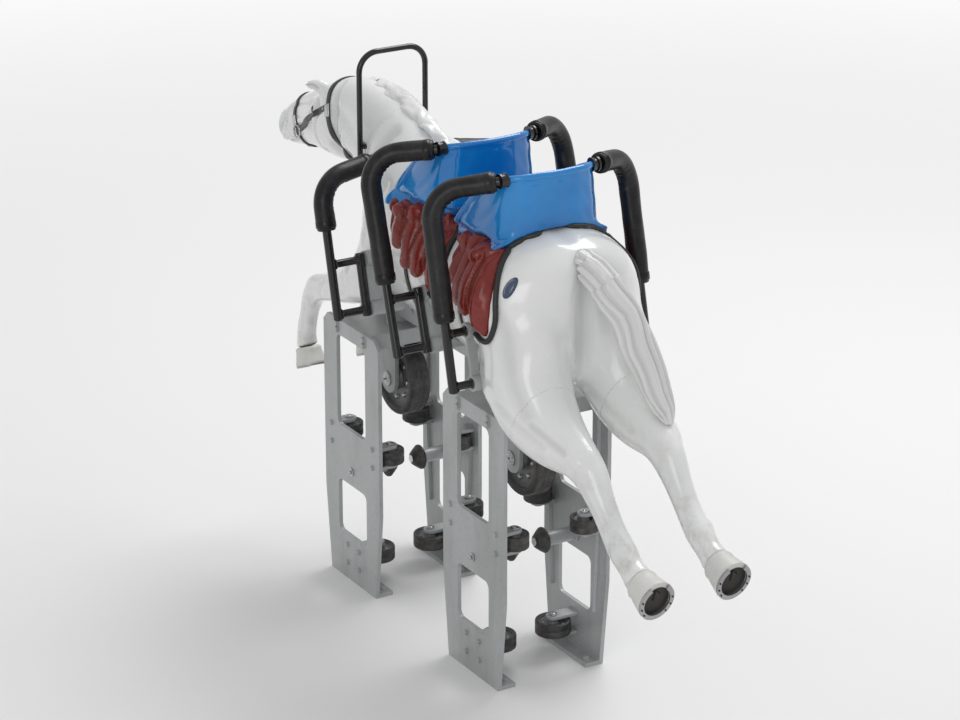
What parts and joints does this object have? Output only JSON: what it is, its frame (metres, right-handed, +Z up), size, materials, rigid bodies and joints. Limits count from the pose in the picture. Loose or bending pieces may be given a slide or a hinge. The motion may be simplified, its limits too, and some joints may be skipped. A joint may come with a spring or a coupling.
{
  "type": "roller coaster car",
  "caption": "Horse-shaped two-seat coaster car on two swivelling bogies that straddle a single rail tube, with padded guard bars and bucket seats.",
  "frame": {"origin": "middle of the car on the floor that the bogie feet stand on", "axes": "+X forward towards the muzzle, +Y to the left side, +Z up"},
  "size_m": [2.1745, 0.6568, 1.5704],
  "materials": {
    "chassis_paint": "satin light grey",
    "bright_steel": "machined",
    "running_wheel_tyre": "polyurethane tread on a steel hub",
    "guide_wheel": "polyurethane tread",
    "white_moulding": "glossy gel coat",
    "hoof": "satin",
    "hair_moulding": "glossy gel coat, moulded strands",
    "strap": "satin",
    "black_tube": "gloss black",
    "seat_shell": "glossy gel coat",
    "saddle_leather": "padded, satin",
    "pad_foam": "skinned foam"
  },
  "bodies": {
    "root": {"chassis_beam": "chassis_paint", "kingpins": "bright_steel", "horse_body": "white_moulding", "horse_head": "white_moulding", "forelegs": "white_moulding", "hind_legs": "white_moulding", "hooves": "hoof", "tail": "hair_moulding", "mane": "hair_moulding", "bridle": "strap", "neck_hoop": "black_tube", "rear_seat": "seat_shell", "front_seat": "seat_shell", "saddle_flaps": "saddle_leather", "front_guards": "black_tube", "middle_guards": "black_tube", "rear_guards": "black_tube", "guard_brackets": "chassis_paint", "guard_pads": "pad_foam"},
    "rear_bogie": {"rear_bogie_side_plates": "chassis_paint", "rear_bogie_crosshead": "chassis_paint", "rear_bogie_wheel_brackets": "chassis_paint", "rear_bogie_axles": "bright_steel"},
    "front_bogie": {"front_bogie_side_plates": "chassis_paint", "front_bogie_crosshead": "chassis_paint", "front_bogie_wheel_brackets": "chassis_paint", "front_bogie_axles": "bright_steel"},
    "rear_running_wheel": {"rear_running_wheel": "running_wheel_tyre"},
    "front_running_wheel": {"front_running_wheel": "running_wheel_tyre"},
    "rear_left_side_wheel_1": {"rear_left_side_wheel_1": "guide_wheel"},
    "rear_left_side_wheel_2": {"rear_left_side_wheel_2": "guide_wheel"},
    "rear_right_side_wheel_1": {"rear_right_side_wheel_1": "guide_wheel"},
    "rear_right_side_wheel_2": {"rear_right_side_wheel_2": "guide_wheel"},
    "front_left_side_wheel_1": {"front_left_side_wheel_1": "guide_wheel"},
    "front_left_side_wheel_2": {"front_left_side_wheel_2": "guide_wheel"},
    "front_right_side_wheel_1": {"front_right_side_wheel_1": "guide_wheel"},
    "front_right_side_wheel_2": {"front_right_side_wheel_2": "guide_wheel"},
    "rear_left_up_stop_roller": {"rear_left_up_stop_roller": "guide_wheel"},
    "rear_right_up_stop_roller": {"rear_right_up_stop_roller": "guide_wheel"},
    "front_left_up_stop_roller": {"front_left_up_stop_roller": "guide_wheel"},
    "front_right_up_stop_roller": {"front_right_up_stop_roller": "guide_wheel"},
    "rear_left_low_wheel": {"rear_left_low_wheel": "guide_wheel"},
    "rear_right_low_wheel": {"rear_right_low_wheel": "guide_wheel"},
    "front_left_low_wheel": {"front_left_low_wheel": "guide_wheel"},
    "front_right_low_wheel": {"front_right_low_wheel": "guide_wheel"}
  },
  "joints": [
    {"name": "rear_bogie_swivel", "type": "hinge", "parent": "root", "child": "rear_bogie", "pos_m": [-0.2666, 0, 0.79], "axis": [0, 0, 1], "range_deg": [-8, 8]},
    {"name": "front_bogie_swivel", "type": "hinge", "parent": "root", "child": "front_bogie", "pos_m": [0.4134, 0, 0.79], "axis": [0, 0, 1], "range_deg": [-8, 8]},
    {"name": "rear_running_wheel_spin", "type": "hinge", "parent": "rear_bogie", "child": "rear_running_wheel", "pos_m": [-0.2666, 0, 0.61], "axis": [0, 1, 0], "continuous": true},
    {"name": "front_running_wheel_spin", "type": "hinge", "parent": "front_bogie", "child": "front_running_wheel", "pos_m": [0.4134, 0, 0.61], "axis": [0, 1, 0], "continuous": true},
    {"name": "rear_left_side_wheel_1_spin", "type": "hinge", "parent": "rear_bogie", "child": "rear_left_side_wheel_1", "pos_m": [-0.3866, 0.11, 0.43], "axis": [0, 0, 1], "continuous": true},
    {"name": "rear_left_side_wheel_2_spin", "type": "hinge", "parent": "rear_bogie", "child": "rear_left_side_wheel_2", "pos_m": [-0.1466, 0.11, 0.43], "axis": [0, 0, 1], "continuous": true},
    {"name": "rear_right_side_wheel_1_spin", "type": "hinge", "parent": "rear_bogie", "child": "rear_right_side_wheel_1", "pos_m": [-0.3866, -0.11, 0.43], "axis": [0, 0, 1], "continuous": true},
    {"name": "rear_right_side_wheel_2_spin", "type": "hinge", "parent": "rear_bogie", "child": "rear_right_side_wheel_2", "pos_m": [-0.1466, -0.11, 0.43], "axis": [0, 0, 1], "continuous": true},
    {"name": "front_left_side_wheel_1_spin", "type": "hinge", "parent": "front_bogie", "child": "front_left_side_wheel_1", "pos_m": [0.2934, 0.11, 0.43], "axis": [0, 0, 1], "continuous": true},
    {"name": "front_left_side_wheel_2_spin", "type": "hinge", "parent": "front_bogie", "child": "front_left_side_wheel_2", "pos_m": [0.5334, 0.11, 0.43], "axis": [0, 0, 1], "continuous": true},
    {"name": "front_right_side_wheel_1_spin", "type": "hinge", "parent": "front_bogie", "child": "front_right_side_wheel_1", "pos_m": [0.2934, -0.11, 0.43], "axis": [0, 0, 1], "continuous": true},
    {"name": "front_right_side_wheel_2_spin", "type": "hinge", "parent": "front_bogie", "child": "front_right_side_wheel_2", "pos_m": [0.5334, -0.11, 0.43], "axis": [0, 0, 1], "continuous": true},
    {"name": "rear_left_up_stop_roller_spin", "type": "hinge", "parent": "rear_bogie", "child": "rear_left_up_stop_roller", "pos_m": [-0.2666, 0.043, 0.346], "axis": [0, 1, 0], "continuous": true},
    {"name": "rear_right_up_stop_roller_spin", "type": "hinge", "parent": "rear_bogie", "child": "rear_right_up_stop_roller", "pos_m": [-0.2666, -0.043, 0.346], "axis": [0, 1, 0], "continuous": true},
    {"name": "front_left_up_stop_roller_spin", "type": "hinge", "parent": "front_bogie", "child": "front_left_up_stop_roller", "pos_m": [0.4134, 0.043, 0.346], "axis": [0, 1, 0], "continuous": true},
    {"name": "front_right_up_stop_roller_spin", "type": "hinge", "parent": "front_bogie", "child": "front_right_up_stop_roller", "pos_m": [0.4134, -0.043, 0.346], "axis": [0, 1, 0], "continuous": true},
    {"name": "rear_left_low_wheel_spin", "type": "hinge", "parent": "rear_bogie", "child": "rear_left_low_wheel", "pos_m": [-0.2666, 0.088, 0.08], "axis": [0, 0, 1], "continuous": true},
    {"name": "rear_right_low_wheel_spin", "type": "hinge", "parent": "rear_bogie", "child": "rear_right_low_wheel", "pos_m": [-0.2666, -0.088, 0.08], "axis": [0, 0, 1], "continuous": true},
    {"name": "front_left_low_wheel_spin", "type": "hinge", "parent": "front_bogie", "child": "front_left_low_wheel", "pos_m": [0.4134, 0.088, 0.08], "axis": [0, 0, 1], "continuous": true},
    {"name": "front_right_low_wheel_spin", "type": "hinge", "parent": "front_bogie", "child": "front_right_low_wheel", "pos_m": [0.4134, -0.088, 0.08], "axis": [0, 0, 1], "continuous": true}
  ]
}
